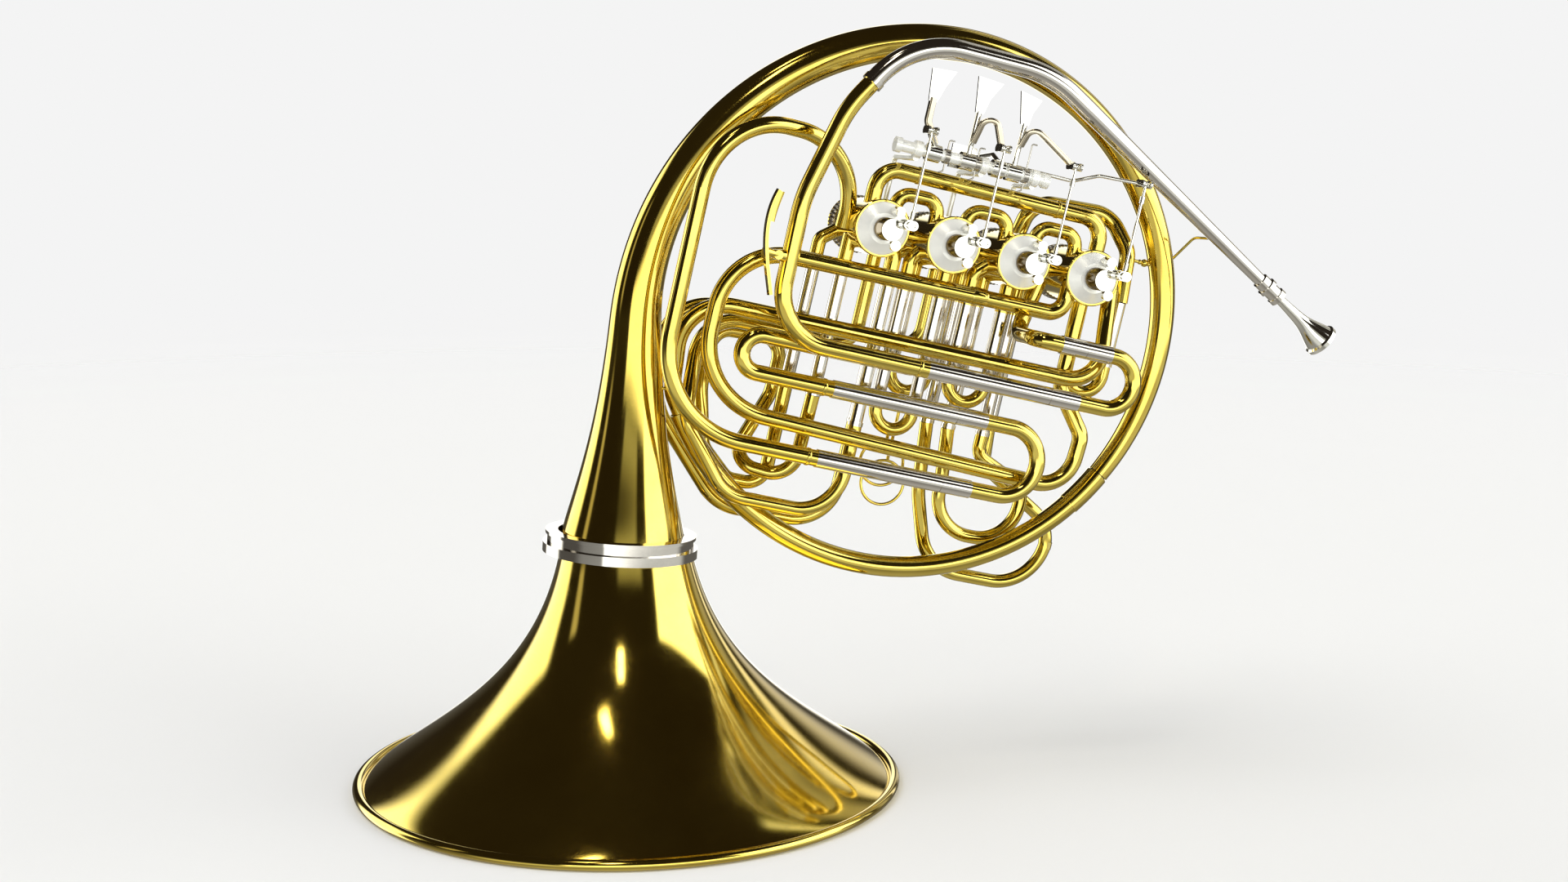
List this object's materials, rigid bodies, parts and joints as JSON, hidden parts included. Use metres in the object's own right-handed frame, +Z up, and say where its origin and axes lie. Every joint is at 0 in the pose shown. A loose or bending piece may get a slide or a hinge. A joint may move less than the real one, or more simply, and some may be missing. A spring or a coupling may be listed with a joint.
{
  "type": "french horn",
  "caption": "Double french horn standing on its bell, with a slanted row of rotary valves, finger and thumb levers, pull-out slides and a removable mouthpiece.",
  "frame": {"origin": "centre of the bell mouth, on the surface that the bell rim stands on", "axes": "+X to the right towards the mouthpiece, +Y to the back, away from the levers, +Z up along the bell"},
  "size_m": [0.5659, 0.31, 0.4267],
  "materials": {
    "lacquered_brass": "polished gold lacquer",
    "nickel_silver": "polished nickel silver",
    "silver_plate": "polished silver plate",
    "spring_wire": "drawn wire"
  },
  "bodies": {
    "corpus": {"arch_brace": "lacquered_brass", "bell_branch": "lacquered_brass", "bell_flare": "lacquered_brass", "bell_rim_wire": "lacquered_brass", "bell_ring_lower": "nickel_silver", "bell_ring_upper": "nickel_silver", "bell_tail": "lacquered_brass", "finger_hook": "lacquered_brass", "first_loop": "lacquered_brass", "inner_coil": "lacquered_brass", "leadpipe": "nickel_silver", "leadpipe_lower": "lacquered_brass", "lever_shaft": "silver_plate", "lever_springs": "spring_wire", "long_loop_front": "lacquered_brass", "long_loop_rear": "lacquered_brass", "low_slide_sleeves": "nickel_silver", "main_slide_crook": "lacquered_brass", "main_slide_sleeves": "nickel_silver", "mouthpiece_receiver": "nickel_silver", "outer_bow": "lacquered_brass", "outer_ferrule": "lacquered_brass", "rear_upper_tube": "lacquered_brass", "return_bow": "lacquered_brass", "shaft_posts": "silver_plate", "third_slide_inner": "lacquered_brass", "third_slide_outer": "lacquered_brass", "turned_brace": "lacquered_brass", "upper_tube": "lacquered_brass", "valve_arches": "lacquered_brass", "valve_back_caps": "lacquered_brass", "valve_bumpers": "silver_plate", "valve_casings": "lacquered_brass", "valve_covers": "silver_plate", "valve_elbows": "lacquered_brass", "valve_rims": "lacquered_brass", "valve_slide_sleeves": "nickel_silver", "wide_loop": "lacquered_brass", "wire_brace": "lacquered_brass"},
    "mouthpiece": {"mouthpiece": "silver_plate"},
    "main_slide": {"main_slide_bow": "lacquered_brass", "main_slide_collars": "nickel_silver"},
    "low_slide": {"low_slide_bow": "lacquered_brass", "low_slide_collars": "nickel_silver"},
    "second_slide_front": {"second_slide_front": "lacquered_brass"},
    "second_slide_rear": {"second_slide_rear": "lacquered_brass"},
    "third_slide_front": {"third_slide_front": "lacquered_brass"},
    "fourth_slide": {"fourth_slide": "lacquered_brass"},
    "rotor_1": {"rotor_1": "silver_plate"},
    "link_rod_1": {"link_rod_1": "silver_plate"},
    "rotor_2": {"rotor_2": "silver_plate"},
    "link_rod_2": {"link_rod_2": "silver_plate"},
    "rotor_3": {"rotor_3": "silver_plate"},
    "link_rod_3": {"link_rod_3": "silver_plate"},
    "rotor_4": {"rotor_4": "silver_plate"},
    "link_rod_4": {"link_rod_4": "silver_plate"},
    "finger_lever_1": {"finger_lever_1": "silver_plate"},
    "finger_lever_2": {"finger_lever_2": "silver_plate"},
    "finger_lever_3": {"finger_lever_3": "silver_plate"},
    "thumb_lever": {"thumb_lever": "silver_plate"}
  },
  "joints": [
    {"name": "mouthpiece_pull", "type": "slide", "parent": "corpus", "child": "mouthpiece", "axis": [0.7451, 0, -0.667], "range_m": [0, 0.012]},
    {"name": "main_slide_pull", "type": "slide", "parent": "corpus", "child": "main_slide", "axis": [0.9724, 0, -0.2334], "range_m": [0, 0.012]},
    {"name": "low_slide_pull", "type": "slide", "parent": "corpus", "child": "low_slide", "axis": [0.9724, 0, -0.2334], "range_m": [0, 0.02]},
    {"name": "second_slide_front_pull", "type": "slide", "parent": "corpus", "child": "second_slide_front", "axis": [-0.2334, 0, -0.9724], "range_m": [0, 0.015]},
    {"name": "second_slide_rear_pull", "type": "slide", "parent": "corpus", "child": "second_slide_rear", "axis": [-0.2334, 0, -0.9724], "range_m": [0, 0.015]},
    {"name": "third_slide_front_pull", "type": "slide", "parent": "corpus", "child": "third_slide_front", "axis": [-0.2334, 0, -0.9724], "range_m": [0, 0.015]},
    {"name": "fourth_slide_pull", "type": "slide", "parent": "corpus", "child": "fourth_slide", "axis": [-0.2334, 0, -0.9724], "range_m": [0, 0.012]},
    {"name": "finger_lever_1_press", "type": "hinge", "parent": "corpus", "child": "finger_lever_1", "pos_m": [0.16166, -0.042, 0.35609], "axis": [0.9724, 0, -0.2334], "range_deg": [0, 31], "stiffness_Nm_per_rad": 0.08, "springref_deg": -20.05},
    {"name": "rotor_1_turn", "type": "hinge", "parent": "corpus", "child": "rotor_1", "pos_m": [0.1412, 0, 0.3137], "axis": [0, 1, 0], "range_deg": [0, 69.6]},
    {"name": "link_rod_1_drop", "type": "slide", "parent": "corpus", "child": "link_rod_1", "axis": [-0.2334, 0, -0.9724], "range_m": [0, 0.0091]},
    {"name": "finger_lever_2_press", "type": "hinge", "parent": "corpus", "child": "finger_lever_2", "pos_m": [0.16166, -0.042, 0.35609], "axis": [0.9724, 0, -0.2334], "range_deg": [0, 31], "stiffness_Nm_per_rad": 0.08, "springref_deg": -20.05},
    {"name": "rotor_2_turn", "type": "hinge", "parent": "corpus", "child": "rotor_2", "pos_m": [0.18311, 0, 0.30364], "axis": [0, 1, 0], "range_deg": [0, 69.6]},
    {"name": "link_rod_2_drop", "type": "slide", "parent": "corpus", "child": "link_rod_2", "axis": [-0.2334, 0, -0.9724], "range_m": [0, 0.0091]},
    {"name": "finger_lever_3_press", "type": "hinge", "parent": "corpus", "child": "finger_lever_3", "pos_m": [0.16166, -0.042, 0.35609], "axis": [0.9724, 0, -0.2334], "range_deg": [0, 31], "stiffness_Nm_per_rad": 0.08, "springref_deg": -20.05},
    {"name": "rotor_3_turn", "type": "hinge", "parent": "corpus", "child": "rotor_3", "pos_m": [0.22502, 0, 0.29358], "axis": [0, 1, 0], "range_deg": [0, 69.6]},
    {"name": "link_rod_3_drop", "type": "slide", "parent": "corpus", "child": "link_rod_3", "axis": [-0.2334, 0, -0.9724], "range_m": [0, 0.0091]},
    {"name": "thumb_lever_press", "type": "hinge", "parent": "corpus", "child": "thumb_lever", "pos_m": [0.16166, -0.042, 0.35609], "axis": [0.9724, 0, -0.2334], "range_deg": [0, 31], "stiffness_Nm_per_rad": 0.08, "springref_deg": -20.05},
    {"name": "rotor_4_turn", "type": "hinge", "parent": "corpus", "child": "rotor_4", "pos_m": [0.26693, 0, 0.28352], "axis": [0, 1, 0], "range_deg": [0, 69.6]},
    {"name": "link_rod_4_drop", "type": "slide", "parent": "corpus", "child": "link_rod_4", "axis": [-0.2334, 0, -0.9724], "range_m": [0, 0.0091]}
  ],
  "couplings": [
    {"joint": "rotor_1_turn", "follows": "finger_lever_1_press", "ratio": 2.2387},
    {"joint": "link_rod_1_drop", "follows": "finger_lever_1_press", "m_per_rad": 0.016634},
    {"joint": "rotor_2_turn", "follows": "finger_lever_2_press", "ratio": 2.2387},
    {"joint": "link_rod_2_drop", "follows": "finger_lever_2_press", "m_per_rad": 0.016634},
    {"joint": "rotor_3_turn", "follows": "finger_lever_3_press", "ratio": 2.2387},
    {"joint": "link_rod_3_drop", "follows": "finger_lever_3_press", "m_per_rad": 0.016634},
    {"joint": "rotor_4_turn", "follows": "thumb_lever_press", "ratio": 2.2387},
    {"joint": "link_rod_4_drop", "follows": "thumb_lever_press", "m_per_rad": 0.016634}
  ]
}
